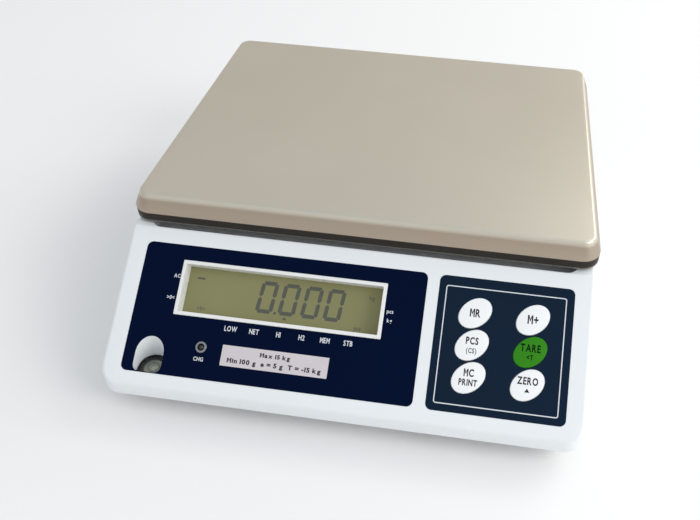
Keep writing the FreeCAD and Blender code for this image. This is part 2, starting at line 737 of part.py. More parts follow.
def board_screws():
    """The same screw holds both circuit boards."""
    lower = [board_screw(x, y, board_z + 1.65, 1) for x, y in board_screw_places()]
    upper = [on_panel(board_screw(x, y, -17.65, -1)) for x, y in display_posts()]
    return group(lower + upper)


def board_parts():
    """Chips, capacitors, sockets and the regulator with its heat sink, on both boards."""
    z = board_z + 1.65
    pieces = [box(40, -90, z, 54, -76, z + 1.6), box(70, -100, z, 80, -94, z + 1.8),
              box(70, -88, z, 82, -80, z + 2.2), box(tail_x - 7, -120, z, tail_x + 7, -113, z + 5),
              box(header_x - 8, -110, z, header_x + 8, -102, z + 6), box(5, -62, z, 12, -50, z + 7),
              box(88, -80, z, 100, -68, z + 9), box(60, -60, z, 76, -52, z + 6)]
    pieces += [rod(x, y, z, z + h, r) for x, y, r, h in
               ((30, -58, 5, 14), (44, -58, 4, 11), (92, -90, 4, 11), (60, -108, 2.5, 6))]
    fins = [box(84 + 3 * k, -58, z + 3, 85 + 3 * k, -46, z + 16) for k in range(4)]
    pieces.append(join([box(84, -58, z, 94, -46, z + 3)] + fins))
    return group(pieces + display_parts())


def battery():
    x, y, z, length, depth, height = battery_box
    case = box(x, y, z, x + length, y + depth, z + height)
    edges = [e for e in case.Edges if e.BoundBox.XLength > 50]
    case = case.makeChamfer(1.5, edges)
    groove = box(x + length - 6, y - 1, z - 1, x + length - 5.2, y + depth + 1, z + height + 1)
    core = box(x + 1, y + 1, z + 1, x + length - 1, y + depth - 1, z + height - 1)
    return join([case.cut(groove), core])


def battery_tabs():
    x, y, z, length, _, height = battery_box
    return group([box(x + length, y + py, z + height - 12, x + length + 6.3, y + py + 4.8,
                      z + height - 11.2) for py in (10, 55)])


def battery_lead(row, end_x):
    x, y, z, length, _, height = battery_box
    start = (x + length + 6.3, y + row + 2.4, z + height - 11.6)
    far = start[0]
    return cable([start, (far + 12, start[1], start[2]), (far + 26, start[1] - 8, start[2] - 8),
                  (far + 30, start[1] - 28 - row / 3, 36), (end_x + 8, 8, 33), (end_x + 2, -16, 34),
                  (end_x, -38, 36), (end_x, -52, 33.5)], 2.0)


def battery_cover():
    """Cover plate that closes the battery bay from below, with a finger tab and two clips."""
    x, y, _, length, depth, _ = battery_box
    g = bay_gap - 0.35
    low, high = base_bottom + 0.2, base_bottom + floor_wall - 0.4
    plate = box(x - g, y - g, low, x + length + g, y + depth + g, high)
    plate = plate.makeChamfer(0.8, [e for e in plate.Edges if e.BoundBox.ZMax < low + 0.01])
    grooves = [box(x + 24 + 9 * k, y + 16, low - 1, x + 27 + 9 * k, y + depth - 16, low + 0.8)
               for k in range(7)]
    return less(plate, grooves)


def cell_lead():
    mid = cell_bottom + cell_height / 2
    x = -cell_length / 2
    return cable([(x + 2, pan_centre_y, mid), (x - 14, pan_centre_y, mid),
                  (x - 32, pan_centre_y - 8, mid - 8), (x - 38, pan_centre_y - 34, mid - 22),
                  (x - 20, -24, 33), (x + 20, -44, 30), (-24, -52, 31), (-6, -53, 33), (8, -53, 35.5)],
                 4.0)


# --- rear wall ------------------------------------------------------------------------------------
def power_jack():
    """Barrel socket for the mains adaptor, nut inside the wall."""
    barrel = join([rod(0, 0, -11, 0.3, 4.5), rod(0, 0, 0.3, 1.4, 6.0),
                   box(-5.5, -5.5, -16, 5.5, 5.5, -4.5)])
    barrel = barrel.cut(rod(0, 0, -9.5, 2, 2.8))
    nut = hexagon(0, 0, -wall - 1.9, -wall - 0.05, 11.0).cut(rod(0, 0, -8, 1, 4.55))
    pin = rod(0, 0, -10, -0.6, 1.05)
    return [to_rear(join([barrel, pin]), *rear_jack), to_rear(nut, *rear_jack)]


def serial_socket():
    body = box(-15.4, -6.2, -12, 15.4, 6.2, -wall - 0.9)
    flange = round_slab(0, 0, 30.8, 12.5, 1, -wall - 0.85, -wall - 0.05)
    snout = d_outline(16.9, 8.4, -wall - 0.9, 5.4)
    rows = [(-5.54 + 2.77 * k, 1.42) for k in range(5)] + [(-4.15 + 2.77 * k, -1.42) for k in range(4)]
    holes = [rod(x, y, 0, 6, 0.6) for x, y in rows]
    bolts = [rod(x, 0, -13, 2, 1.6) for x in (-12.5, 12.5)]
    return to_rear(less(join([body, flange, snout]), holes + bolts), *rear_serial)


def serial_studs():
    studs = []
    for x in (-12.5, 12.5):
        stud = join([hexagon(x, 0, -wall - 0.02, 4.6, 4.75), rod(x, 0, -11, -wall - 0.02, 1.45)])
        studs.append(stud.cut(rod(x, 0, -1.5, 5, 1.4)))
    return to_rear(group(studs), *rear_serial)


def switch_body():
    frame = round_slab(0, 0, 21.4, 15.2, 1.5, 0.05, 1.6)
    frame = frame.makeFillet(0.6, [e for e in frame.Edges if e.BoundBox.ZMin > 1.59])
    can = box(-9.6, -6.5, -15, 9.6, 6.5, 0.05)
    pocket = box(-8.6, -5.6, -8, 8.6, 5.6, 2)
    tabs = [box(x - 0.4, -2.4, -21, x + 0.4, 2.4, -15) for x in (-6, 6)]
    return to_rear(join([frame, can] + tabs).cut(pocket), *rear_switch)


def rocker():
    """Rocker at rest in its off position; it swings about the X-wise pivot of the switch."""
    half = rocker_throw / 2
    wide, reach = 16.6, 4.4
    points = [(-8.0, reach - 2.1), (0, reach - 3.4), (8.0, reach - 2.1), (6.4, -3.2), (-6.4, -3.2)]
    loop = [Vector(x, -wide / 2 + 3.0, z) for x, z in points]
    shape = Part.Face(Part.makePolygon(loop + [loop[0]])).extrude(Vector(0, wide - 6.0, 0))
    shape = shape.makeFillet(0.4, [e for e in shape.Edges if e.BoundBox.YLength > 5])
    shape.rotate(Vector(0, 0, 0), Vector(0, 1, 0), half)
    return to_rear(shape, *rear_switch)


# --- feet -----------------------------------------------------------------------------------------
def foot_sole(place):
    x, y = foot_places[place]
    sole = rod(x, y, 0, 4.4, 12.5)
    sole = sole.makeChamfer(1.0, [e for e in sole.Edges if e.BoundBox.ZMax < 0.01])
    sole = sole.makeFillet(1.2, [e for e in sole.Edges if e.BoundBox.ZMin > 4.39])
    grooves = [Part.makeTorus(r, 0.6, Vector(x, y, 0)) for r in (5.0, 8.5)]
    return less(sole, grooves + [rod(x, y, 2.4, 5, 6.3)])


def foot_stud(place):
    """Threaded stud with its ribbed hand wheel; the lower disc turns in the rubber sole."""
    x, y = foot_places[place]
    wheel = rod(x, y, 4.7, 8.6, 12.0)
    notches = []
    for k in range(20):
        a = math.radians(18 * k)
        notches.append(rod(x + 12.3 * math.cos(a), y + 12.3 * math.sin(a), 4, 9, 0.9))
    wheel = less(wheel.makeChamfer(0.5, wheel.Edges[0:1] + wheel.Edges[2:3]), notches)
    disc = rod(x, y, 2.6, 4.7, 6.0)
    return join([wheel, disc, rod(x, y, 8.6, 27, stud_radius)])


def foot_inserts():
    ring = []
    for x, y in foot_places.values():
        ring.append(rod(x, y, base_bottom + 0.2, 26, 6.45).cut(
            rod(x, y, 0, 30, stud_radius + stud_clearance)))
    return group(ring)


# --- node table -----------------------------------------------------------------------------------
def nodes():
    table = {"pan": pan(), "platform": platform(), "pan_pads": pan_pads(), "riser": riser(),
             "riser_screws": riser_screws(), "load_cell": load_cell(),
             "gauge_covers": gauge_covers(), "pedestal": pedestal(), "chassis": chassis(),
             "chassis_screws": chassis_screws(), "pedestal_screws": pedestal_screws(),
             "top_shell": top_shell(), "base_shell": base_shell(),
             "shell_screws": shell_screw_set(), "overload_stops": overload_stops(),
             "display_overlay": display_overlay(), "display_bezel": display_bezel(),
             "lcd_glass": lcd_glass(),
             "lcd_backlight": lcd_backlight(), "display_board": display_board(),
             "rating_plate": rating_plate(), "charge_lamp": charge_lamp(),
             "lamp_ring": lamp_ring(), "keypad_overlay": keypad_overlay(),
             "keypad_spacer": keypad_spacer(), "keypad_circuit": keypad_circuit(),
             "dome_switches": dome_switches(), "flat_cables": flat_cables(),
             "level_body": level_body(), "level_well": level_well(),
             "level_lens": level_lens(), "main_board": main_board(),
             "board_screws": board_screws(), "board_parts": board_parts(),
             "battery": battery(), "battery_tabs": battery_tabs(),
             "battery_lead_red": battery_lead(10, 64.0), "battery_lead_black": battery_lead(55, 70.0),
             "battery_cover": battery_cover(), "cell_lead": cell_lead(),
             "power_jack": group(power_jack()), "serial_socket": serial_socket(),
             "serial_studs": serial_studs(), "switch_body": switch_body(), "rocker": rocker(),
             "foot_inserts": foot_inserts()}
    for column in key_names:
        for name in column:
            table[name] = key(name)
    return table


os.makedirs("parts", exist_ok=True)
built = nodes()
for place in foot_places:
    built["foot_sole_" + place] = foot_sole(place)
    built["foot_stud_" + place] = foot_stud(place)
for name, shape in built.items():
    solids = shape.Solids
    if not shape.isValid() or not solids or any(s.Volume <= 0 for s in solids):
        print("BAD", name, shape.isValid(), len(solids))
    Part.makeCompound(solids).exportStep("parts/" + name + ".step")
print(len(built), "nodes")
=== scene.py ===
import bmesh
import bpy
import json
import math
from mathutils import Euler, Matrix, Vector


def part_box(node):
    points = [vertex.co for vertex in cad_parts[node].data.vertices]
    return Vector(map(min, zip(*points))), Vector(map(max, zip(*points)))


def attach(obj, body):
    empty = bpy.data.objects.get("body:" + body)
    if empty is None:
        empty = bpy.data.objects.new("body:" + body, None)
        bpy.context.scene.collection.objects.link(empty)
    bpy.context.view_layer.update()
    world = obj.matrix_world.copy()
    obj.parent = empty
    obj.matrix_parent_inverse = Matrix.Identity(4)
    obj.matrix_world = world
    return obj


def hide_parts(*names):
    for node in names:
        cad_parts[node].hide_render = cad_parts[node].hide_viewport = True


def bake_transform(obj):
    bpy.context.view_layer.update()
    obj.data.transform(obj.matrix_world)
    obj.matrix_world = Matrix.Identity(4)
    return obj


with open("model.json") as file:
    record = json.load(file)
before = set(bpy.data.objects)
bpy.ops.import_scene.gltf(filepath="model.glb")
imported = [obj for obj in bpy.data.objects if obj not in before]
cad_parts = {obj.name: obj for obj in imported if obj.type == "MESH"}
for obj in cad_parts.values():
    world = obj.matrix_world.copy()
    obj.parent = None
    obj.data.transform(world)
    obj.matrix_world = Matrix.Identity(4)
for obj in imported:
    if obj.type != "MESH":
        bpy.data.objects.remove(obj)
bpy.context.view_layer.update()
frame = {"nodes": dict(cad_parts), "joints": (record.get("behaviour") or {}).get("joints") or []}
mm = 0.001
weldGap = 0.000002  # corners of a loose CAD mesh closer than this are one
printLift = 0.005  # millimetres that a legend stands off its film
noiseSpan = (0.3, 0.7)  # the part of a noise that is stretched over a finish
parts = frame["nodes"]
joints = {joint["name"]: joint for joint in frame["joints"]}
print("frame loaded:", len(parts), "parts")


# panel coordinates: X to the right, Y up the slope from the ridge, Z out of the panel
keyAxis = Vector(joints["key_tare_press"]["axis"])
slope = math.atan2(keyAxis.y, -keyAxis.z)
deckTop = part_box("top_shell")[1].z
filmLow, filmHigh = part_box("keypad_overlay")
filmSpan = filmHigh - filmLow
filmLength = (filmSpan.y * math.cos(slope) - filmSpan.z * math.sin(slope)) / math.cos(2 * slope)
ridgeY = filmLow.y + filmLength * math.cos(slope) + (deckTop - filmHigh.z) / math.tan(slope)
toPanel = Matrix.Translation((0, ridgeY, deckTop)) @ Matrix.Rotation(slope, 4, "X")
fromPanel = toPanel.inverted()


def panelCentre(node):
    low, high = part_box(node)
    return fromPanel @ ((low + high) / 2)


# shader node helpers
def link(tree, source, target):
    tree.links.new(source, target)


def newMaterial(name, look):
    mat = bpy.data.materials.new(name)
    mat.use_nodes = True
    shader = mat.node_tree.nodes["Principled BSDF"]
    shader.inputs["Base Color"].default_value = (*look["colour"], 1)
    shader.inputs["Roughness"].default_value = look.get("rough", 0.4)
    shader.inputs["Metallic"].default_value = look.get("metal", 0)
    shader.inputs["Specular IOR Level"].default_value = look.get("gloss", 0.5)
    shader.inputs["Coat Weight"].default_value = look.get("coat", 0)
    shader.inputs["Coat Roughness"].default_value = look.get("coatRough", 0.1)
    shader.inputs["Alpha"].default_value = look.get("alpha", 1)
    mat.diffuse_color = (*look["colour"], 1)
    return mat, mat.node_tree, shader


def noiseAt(tree, scale, stretch=(1, 1, 1), detail=4, turn=(0, 0, 0)):
    coords = tree.nodes.new("ShaderNodeTexCoord")
    mapping = tree.nodes.new("ShaderNodeMapping")
    mapping.inputs["Scale"].default_value = stretch
    mapping.inputs["Rotation"].default_value = turn
    noise = tree.nodes.new("ShaderNodeTexNoise")
    noise.inputs["Scale"].default_value = scale
    noise.inputs["Detail"].default_value = detail
    link(tree, coords.outputs["Object"], mapping.inputs["Vector"])
    link(tree, mapping.outputs["Vector"], noise.inputs["Vector"])
    return noise.outputs["Fac"]


def blendColour(tree, shader, factor, first, second):
    ramp = tree.nodes.new("ShaderNodeValToRGB")
    ramp.color_ramp.elements[0].position = noiseSpan[0]
    ramp.color_ramp.elements[0].color = (*first, 1)
    ramp.color_ramp.elements[1].position = noiseSpan[1]
    ramp.color_ramp.elements[1].color = (*second, 1)
    link(tree, factor, ramp.inputs["Fac"])
    link(tree, ramp.outputs["Color"], shader.inputs["Base Color"])


def varyRoughness(tree, shader, factor, low, high):
    spread = tree.nodes.new("ShaderNodeMapRange")
    spread.inputs["From Min"].default_value, spread.inputs["From Max"].default_value = noiseSpan
    spread.inputs["To Min"].default_value = low
    spread.inputs["To Max"].default_value = high
    link(tree, factor, spread.inputs["Value"])
    link(tree, spread.outputs["Result"], shader.inputs["Roughness"])


def addBump(tree, shader, height, depth, strength=1.0):
    bump = tree.nodes.new("ShaderNodeBump")
    bump.inputs["Strength"].default_value = strength
    bump.inputs["Distance"].default_value = depth
    link(tree, height, bump.inputs["Height"])
    link(tree, bump.outputs["Normal"], shader.inputs["Normal"])


def shade(colour, factor):
    return tuple(min(1.0, c * factor) for c in colour)


def surface(name, look):
    # colour drift, uneven roughness and a fine grain in one recipe, sized in metres
    mat, tree, shader = newMaterial(name, look)
    drift = look.get("drift", 0.04)
    stretch = look.get("stretch", (1, 1, 1))
    tone = noiseAt(tree, look.get("driftScale", 30), stretch)
    blendColour(tree, shader, tone, shade(look["colour"], 1 - drift), shade(look["colour"], 1 + drift))
    rough = look.get("rough", 0.4)
    patch = noiseAt(tree, look.get("roughScale", 160), stretch)
    varyRoughness(tree, shader, patch, rough - look.get("roughSpread", 0.05),
                  rough + look.get("roughSpread", 0.05))
    grain = noiseAt(tree, look.get("grainScale", 1500), stretch, 2)
    addBump(tree, shader, grain, look.get("grainDepth", 0.00002), look.get("grainStrength", 0.3))
    return mat


# finishes, one line of values each
looks = {
    "mouldedWhite": {"colour": (0.815, 0.85, 0.88), "rough": 0.42, "gloss": 0.35, "drift": 0.012,
                     "driftScale": 14, "grainScale": 2600, "grainDepth": 0.00002,
                     "grainStrength": 0.25},
    "baseWhite": {"colour": (0.77, 0.80, 0.825), "rough": 0.5, "drift": 0.015, "driftScale": 12,
                  "grainScale": 1800, "grainDepth": 0.00003, "grainStrength": 0.4},
    "bezelWhite": {"colour": (0.82, 0.83, 0.83), "rough": 0.3, "drift": 0.01, "grainStrength": 0.12},
    "keyWhite": {"colour": (0.90, 0.92, 0.94), "rough": 0.35, "drift": 0.008, "grainStrength": 0.15},
    "keyGreen": {"colour": (0.030, 0.235, 0.006), "rough": 0.4, "gloss": 0.15, "drift": 0.03,
                 "grainStrength": 0.15},
    "displayFilm": {"colour": (0.0006, 0.0045, 0.025), "rough": 0.34, "gloss": 0.03, "drift": 0.06,
                    "driftScale": 9, "grainScale": 1200, "grainStrength": 0.12},
    "keypadFilm": {"colour": (0.0055, 0.0155, 0.035), "rough": 0.4, "gloss": 0.05, "drift": 0.05,
                   "driftScale": 10, "grainScale": 1600, "grainStrength": 0.25},
    # the platform's dark grey is partly its cast metal and partly painted shade, darkened so the gap
    # under the pan reads dark
    "castMetal": {"colour": (0.30, 0.30, 0.31), "rough": 0.62, "metal": 1, "drift": 0.1,
                  "driftScale": 60, "grainScale": 700, "grainDepth": 0.00012, "grainStrength": 0.6},
    "milledMetal": {"colour": (0.66, 0.67, 0.69), "rough": 0.32, "metal": 1, "drift": 0.04,
                    "stretch": (0.06, 1, 1), "grainScale": 2400, "grainStrength": 0.5},
    "zincSteel": {"colour": (0.58, 0.58, 0.55), "rough": 0.34, "metal": 1, "drift": 0.08,
                  "driftScale": 220, "grainScale": 1600},
    "sheetSteel": {"colour": (0.50, 0.51, 0.52), "rough": 0.42, "metal": 1, "drift": 0.14,
                   "driftScale": 90, "grainScale": 500},
    "blackRubber": {"colour": (0.018, 0.018, 0.018), "rough": 0.78, "drift": 0.2, "driftScale": 120,
                    "grainScale": 1100, "grainDepth": 0.00006, "grainStrength": 0.6},
    "blackPlastic": {"colour": (0.022, 0.022, 0.024), "rough": 0.48, "drift": 0.12,
                     "driftScale": 90, "grainScale": 1700, "grainDepth": 0.00004},
    "whitePaper": {"colour": (0.63, 0.59, 0.62), "rough": 0.6, "gloss": 0.2, "drift": 0.02,
                   "driftScale": 80, "grainScale": 2200, "grainStrength": 0.2},
    "boardLacquer": {"colour": (0.012, 0.10, 0.035), "rough": 0.32, "drift": 0.2, "driftScale": 260,
                     "grainScale": 700, "coat": 0.4},
    "circuitFilm": {"colour": (0.50, 0.55, 0.50), "rough": 0.4, "drift": 0.06, "driftScale": 110},
    "amberFilm": {"colour": (0.50, 0.26, 0.05), "rough": 0.3, "drift": 0.08, "driftScale": 500},
    "brass": {"colour": (0.62, 0.46, 0.20), "rough": 0.3, "metal": 1, "drift": 0.08,
              "driftScale": 200},
    "batteryCase": {"colour": (0.05, 0.052, 0.058), "rough": 0.5, "drift": 0.08, "driftScale": 50,
                    "grainScale": 1200, "grainDepth": 0.00005},
    "redSleeve": {"colour": (0.42, 0.012, 0.010), "rough": 0.35, "drift": 0.05},
    "blackSleeve": {"colour": (0.015, 0.015, 0.016), "rough": 0.35, "drift": 0.1},
    "greySleeve": {"colour": (0.20, 0.205, 0.21), "rough": 0.45, "drift": 0.05},
    "silicone": {"colour": (0.70, 0.70, 0.66), "rough": 0.5, "drift": 0.03, "grainScale": 500},
    "diffuser": {"colour": (0.74, 0.74, 0.68), "rough": 0.5, "drift": 0.02},
    "ringMetal": {"colour": (0.26, 0.28, 0.31), "rough": 0.3, "metal": 0.6, "drift": 0.04},
    "lampLens": {"colour": (0.016, 0.012, 0.012), "rough": 0.15, "coat": 0.6, "drift": 0.1},
    "printWhite": {"colour": (0.70, 0.73, 0.78), "rough": 0.5, "drift": 0.03, "driftScale": 900},
    "printBlack": {"colour": (0.018, 0.018, 0.020), "rough": 0.6, "gloss": 0.25, "drift": 0.1,
                   "driftScale": 900},
    "printGrey": {"colour": (0.12, 0.12, 0.125), "rough": 0.5, "drift": 0.1, "driftScale": 900},
    "printGreen": {"colour": (0.001, 0.012, 0.001), "rough": 0.6, "gloss": 0.1, "drift": 0.1,
                   "driftScale": 900},
}
finishes = {name: surface(name, look) for name, look in looks.items()}

# the pan's rim, lip and hem colours are painted light by height: a browner painted reflection on the rim,
# painted shade on the lip, a painted highlight on the hem
panLook = {"colour": (0.67, 0.625, 0.53), "rim": (0.46, 0.385, 0.31), "lip": (0.045, 0.041, 0.037),
           "hemPaintedHighlight": (0.20, 0.185, 0.165), "metal": 1, "cloud": 7, "brush": 5200, "rimStarts": 2.0,
           "lipStarts": 12.0, "hemStarts": 17.4, "fade": 2.0, "lipFade": 0.4, "hemFade": 0.5,
           "sheen": (0.38, 0.48), "along": (0.012, 1, 1),
           "scratchDepth": 0.00001, "scratchStrength": 0.4}


# height mask that places the painted reflection, shade and highlight on the pan's rim, lip and hem
def belowTop(tree, start, fade):
    # nought on the flat of the pan, one further down than start millimetres
    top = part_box("pan")[1].z
    coords = tree.nodes.new("ShaderNodeTexCoord")
    axes = tree.nodes.new("ShaderNodeSeparateXYZ")
    depth = tree.nodes.new("ShaderNodeMapRange")
    depth.inputs["From Min"].default_value = top - start * mm
    depth.inputs["From Max"].default_value = top - (start + fade) * mm
    link(tree, coords.outputs["Object"], axes.inputs["Vector"])
    link(tree, axes.outputs["Z"], depth.inputs["Value"])
    return depth.outputs["Result"]


def overlay(tree, shader, factor, colour):
    # lays a colour over what already feeds the base colour
    mix = tree.nodes.new("ShaderNodeMix")
    mix.data_type = "RGBA"
    mix.inputs["B"].default_value = (*colour, 1)
    below = shader.inputs["Base Color"].links[0].from_socket
    link(tree, factor, mix.inputs["Factor"])
    link(tree, below, mix.inputs["A"])
    link(tree, mix.outputs["Result"], shader.inputs["Base Color"])


def satinSteel():
    # long fine scratches along X; painted light by height: the folded rim is painted browner as a
    # reflection of the room, the lip under it painted dark as shade and dark reflection, with a lighter
    # painted highlight along its hem
    mat, tree, shader = newMaterial("satinSteel", panLook)
    cloud = noiseAt(tree, panLook["cloud"], (1, 1, 1), 3)
    blendColour(tree, shader, cloud, shade(panLook["colour"], 0.97), shade(panLook["colour"], 1.03))
    # painted reflection, painted shade and painted highlight, laid on by height below the flat top
    overlay(tree, shader, belowTop(tree, panLook["rimStarts"], panLook["fade"]), panLook["rim"])
    overlay(tree, shader, belowTop(tree, panLook["lipStarts"], panLook["lipFade"]), panLook["lip"])
    overlay(tree, shader, belowTop(tree, panLook["hemStarts"], panLook["hemFade"]), panLook["hemPaintedHighlight"])
    brush = noiseAt(tree, panLook["brush"], panLook["along"], 3)
    varyRoughness(tree, shader, brush, *panLook["sheen"])
    addBump(tree, shader, brush, panLook["scratchDepth"], panLook["scratchStrength"])
    return mat


lcdLook = {"colour": (0.255, 0.248, 0.122), "rough": 0.32, "gloss": 0.1, "cloud": 18, "grain": 3000,
           "sheen": (0.28, 0.38)}


def lcdSurface():
    # a reflective display: faint cloud and polariser grain over the olive ground
    mat, tree, shader = newMaterial("lcdSurface", lcdLook)
    cloud = noiseAt(tree, lcdLook["cloud"])
    blendColour(tree, shader, cloud, shade(lcdLook["colour"], 0.96), shade(lcdLook["colour"], 1.04))
    grain = noiseAt(tree, lcdLook["grain"], (1, 1, 1), 1)
    varyRoughness(tree, shader, grain, *lcdLook["sheen"])
    return mat


clearLook = {"smear": 60, "tone": 40, "spread": 0.05}


def clearPlastic(name, colour, alpha, rough):
    mat, tree, shader = newMaterial(name, {"colour": colour, "alpha": alpha, "rough": rough})
    smear = noiseAt(tree, clearLook["smear"], (1, 1, 1), 3)
    varyRoughness(tree, shader, smear, rough, rough + clearLook["spread"])
    tone = noiseAt(tree, clearLook["tone"])
    blendColour(tree, shader, tone, shade(colour, 0.97), shade(colour, 1.03))
    mat.surface_render_method = "BLENDED"
    return mat


finishes["satinSteel"] = satinSteel()
finishes["lcdSurface"] = lcdSurface()
finishes["levelGlass"] = clearPlastic("levelGlass", (0.75, 0.78, 0.68), 0.22, 0.05)
finishes["levelFluid"] = clearPlastic("levelFluid", (0.22, 0.24, 0.15), 0.92, 0.12)
finishes["bubbleAir"] = clearPlastic("bubbleAir", (0.55, 0.57, 0.42), 0.8, 0.1)
print("finishes made:", len(finishes))


# CAD parts dressed in their finishes
dressing = {
    "mouldedWhite": ["top_shell", "level_well"],
    "baseWhite": ["base_shell", "battery_cover"],
    "bezelWhite": ["display_bezel"],
    "keyWhite": ["key_recall", "key_count", "key_clear", "key_add", "key_zero"],
    "keyGreen": ["key_tare"],
    "displayFilm": ["display_overlay"],
    "keypadFilm": ["keypad_overlay"],
    "satinSteel": ["pan"],
    "castMetal": ["platform"],
    "milledMetal": ["load_cell", "riser", "pedestal"],
    "zincSteel": ["riser_screws", "pedestal_screws", "chassis_screws", "shell_screws", "board_screws",
                  "overload_stops", "serial_socket", "serial_studs", "dome_switches"],
    "sheetSteel": ["chassis"],
    "blackRubber": ["pan_pads"],
    "blackPlastic": ["switch_body", "rocker", "power_jack", "board_parts", "level_body"],
    "whitePaper": ["rating_plate"],
    "boardLacquer": ["display_board", "main_board"],
    "circuitFilm": ["keypad_spacer", "keypad_circuit"],
    "amberFilm": ["flat_cables"],
    "brass": ["battery_tabs", "foot_inserts"],
    "batteryCase": ["battery"],
    "redSleeve": ["battery_lead_red"],
    "blackSleeve": ["battery_lead_black"],
    "greySleeve": ["cell_lead"],
    "silicone": ["gauge_covers"],
    "diffuser": ["lcd_backlight"],
    "ringMetal": ["lamp_ring"],
    "lampLens": ["charge_lamp"],
    "lcdSurface": ["lcd_glass"],
    "levelGlass": ["level_lens"],
}
for place in ("front_left", "front_right", "rear_left", "rear_right"):
    dressing["blackRubber"].append("foot_sole_" + place)
    dressing["blackPlastic"].append("foot_stud_" + place)


def softenEdges(piece, angle=32):
    for polygon in piece.data.polygons:
        polygon.use_smooth = True
    weld = piece.modifiers.new("weld", "WELD")
    weld.merge_threshold = weldGap
    split = piece.modifiers.new("split", "EDGE_SPLIT")
    split.split_angle = math.radians(angle)
    split.use_edge_sharp = False


for finish, names in dressing.items():
    for name in names:
        piece = parts[name]
        piece.data.materials.clear()
        piece.data.materials.append(finishes[finish])
        softenEdges(piece)
undressed = set(parts) - {name for names in dressing.values() for name in names}
print("parts dressed, left over:", sorted(undressed))


# helpers for new pieces
def addPiece(name, mesh, finish, body):
    mesh.materials.clear()
    mesh.materials.append(finishes[finish])
    piece = bpy.data.objects.new(name, mesh)
    bpy.context.scene.collection.objects.link(piece)
    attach(piece, body)
    return piece


def meshFrom(bm, name):
    bmesh.ops.recalc_face_normals(bm, faces=bm.faces)
    mesh = bpy.data.meshes.new(name)
    bm.to_mesh(mesh)
    bm.free()
    return mesh


letterLook = {"tall": 0.682, "wideM": 0.60, "stroke": 0.095, "between": 0.10, "space": 0.3,
              "shoulder": 0.72, "valley": 0.22, "notch": 0.56, "weld": 0.0000005}


def letterM(bm, bold):
    # the outline font's own M closes up when it is made bold
    w, h, t = letterLook["wideM"] + bold, letterLook["tall"], letterLook["stroke"] + 2 * bold
    left = [(0, h + bold), (0, -bold), (t, -bold), (t, letterLook["shoulder"] * h)]
    right = [(w - x, y) for x, y in left[::-1]]
    top = [(w - t, h + bold), (w / 2, letterLook["notch"] * h), (t, h + bold)]
    corners = left + [(w / 2, letterLook["valley"] * h)] + right + top
    face = bm.faces.new([bm.verts.new((x, y, 0)) for x, y in corners])
    bmesh.ops.extrude_face_region(bm, geom=[face])
    bmesh.ops.translate(bm, verts=bm.verts[:len(corners)], vec=(0, 0, 1))


def letterPlate(letter, bold):
    # one letter as a closed plate, its left edge on X = 0 and its foot on Y = 0
    bm = bmesh.new()
    if letter == "M":
        letterM(bm, bold)
    else:
        curve = bpy.data.curves.new("letter", "FONT")
        curve.body = letter
        curve.extrude = 0.5
        curve.offset = bold
        curve.resolution_u = 3
        holder = bpy.data.objects.new("letter", curve)
        bpy.context.scene.collection.objects.link(holder)
        bpy.context.view_layer.update()
        ready = holder.evaluated_get(bpy.context.evaluated_depsgraph_get())
        bm.from_mesh(bpy.data.meshes.new_from_object(ready))
        bpy.data.objects.remove(holder)
        bmesh.ops.translate(bm, verts=bm.verts, vec=(0, 0, 0.5))
    bmesh.ops.translate(bm, verts=bm.verts, vec=(-min(v.co.x for v in bm.verts), 0, 0))
    return bm


def printedText(words, height, x, s, lift, widen=1.0, bold=0.012, thick=0.03):
    # raised lettering whose middle is x across and s down the panel, in millimetres
    whole = bmesh.new()
    reach = 0
    for letter in words:
        if letter == " ":
            reach += letterLook["space"]
            continue
        plate = letterPlate(letter, bold)
        bmesh.ops.translate(plate, verts=plate.verts, vec=(reach, 0, 0))
        reach = max(v.co.x for v in plate.verts) + letterLook["between"]
        piece = bpy.data.meshes.new("letter")
        plate.to_mesh(piece)
        plate.free()
        whole.from_mesh(piece)
    bmesh.ops.translate(whole, verts=whole.verts, vec=((letterLook["between"] - reach) / 2,
                                                       -letterLook["tall"] / 2, 0))
    mesh = meshFrom(whole, "words")
    size = height / letterLook["tall"] * mm
    grow = Matrix.Diagonal((size * widen, size, thick * mm, 1))
    mesh.transform(toPanel @ Matrix.Translation((x * mm, -s * mm, lift * mm)) @ grow)
    return mesh


def joinMeshes(meshes, name):
    bm = bmesh.new()
    for mesh in meshes:
        bm.from_mesh(mesh)
    bmesh.ops.remove_doubles(bm, verts=bm.verts, dist=letterLook["weld"])
    return meshFrom(bm, name)


def flatBar(bm, outline, thick):
    # a few corners made into a face and pulled up into a closed plate
    corners = [bm.verts.new((x * mm, y * mm, 0)) for x, y in outline]
    face = bm.faces.new(corners)
    raised = bmesh.ops.extrude_face_region(bm, geom=[face])
    lifted = [v for v in raised["geom"] if isinstance(v, bmesh.types.BMVert)]
    bmesh.ops.translate(bm, verts=lifted, vec=(0, 0, thick * mm))


# liquid crystal figures
digit = {"height": 21.3, "width": 11.5, "stroke": 2.6, "gap": 0.12, "lean": 0.1, "pitch": 15.0,
         "thick": 0.02, "first": -56.5, "middle": 37.0, "dot": (1.6, 1.7, 0.1), "dotBack": 1.7}
lcdMarks = {"height": 2.6, "widen": 0.85, "thick": 0.02,
            "words": ((-99.1, 49.4, ">0<"), (12.3, 29.2, "kg"), (5.4, 50.0, "pcs")),
            "dash": (-102.6, 29.6, 5.2, 1.2), "pointer": (-42.9, 49.4, 1.6, 2.0)}
lcdLift = max((fromPanel @ vertex.co).z for vertex in parts["lcd_glass"].data.vertices) / mm + 0.01


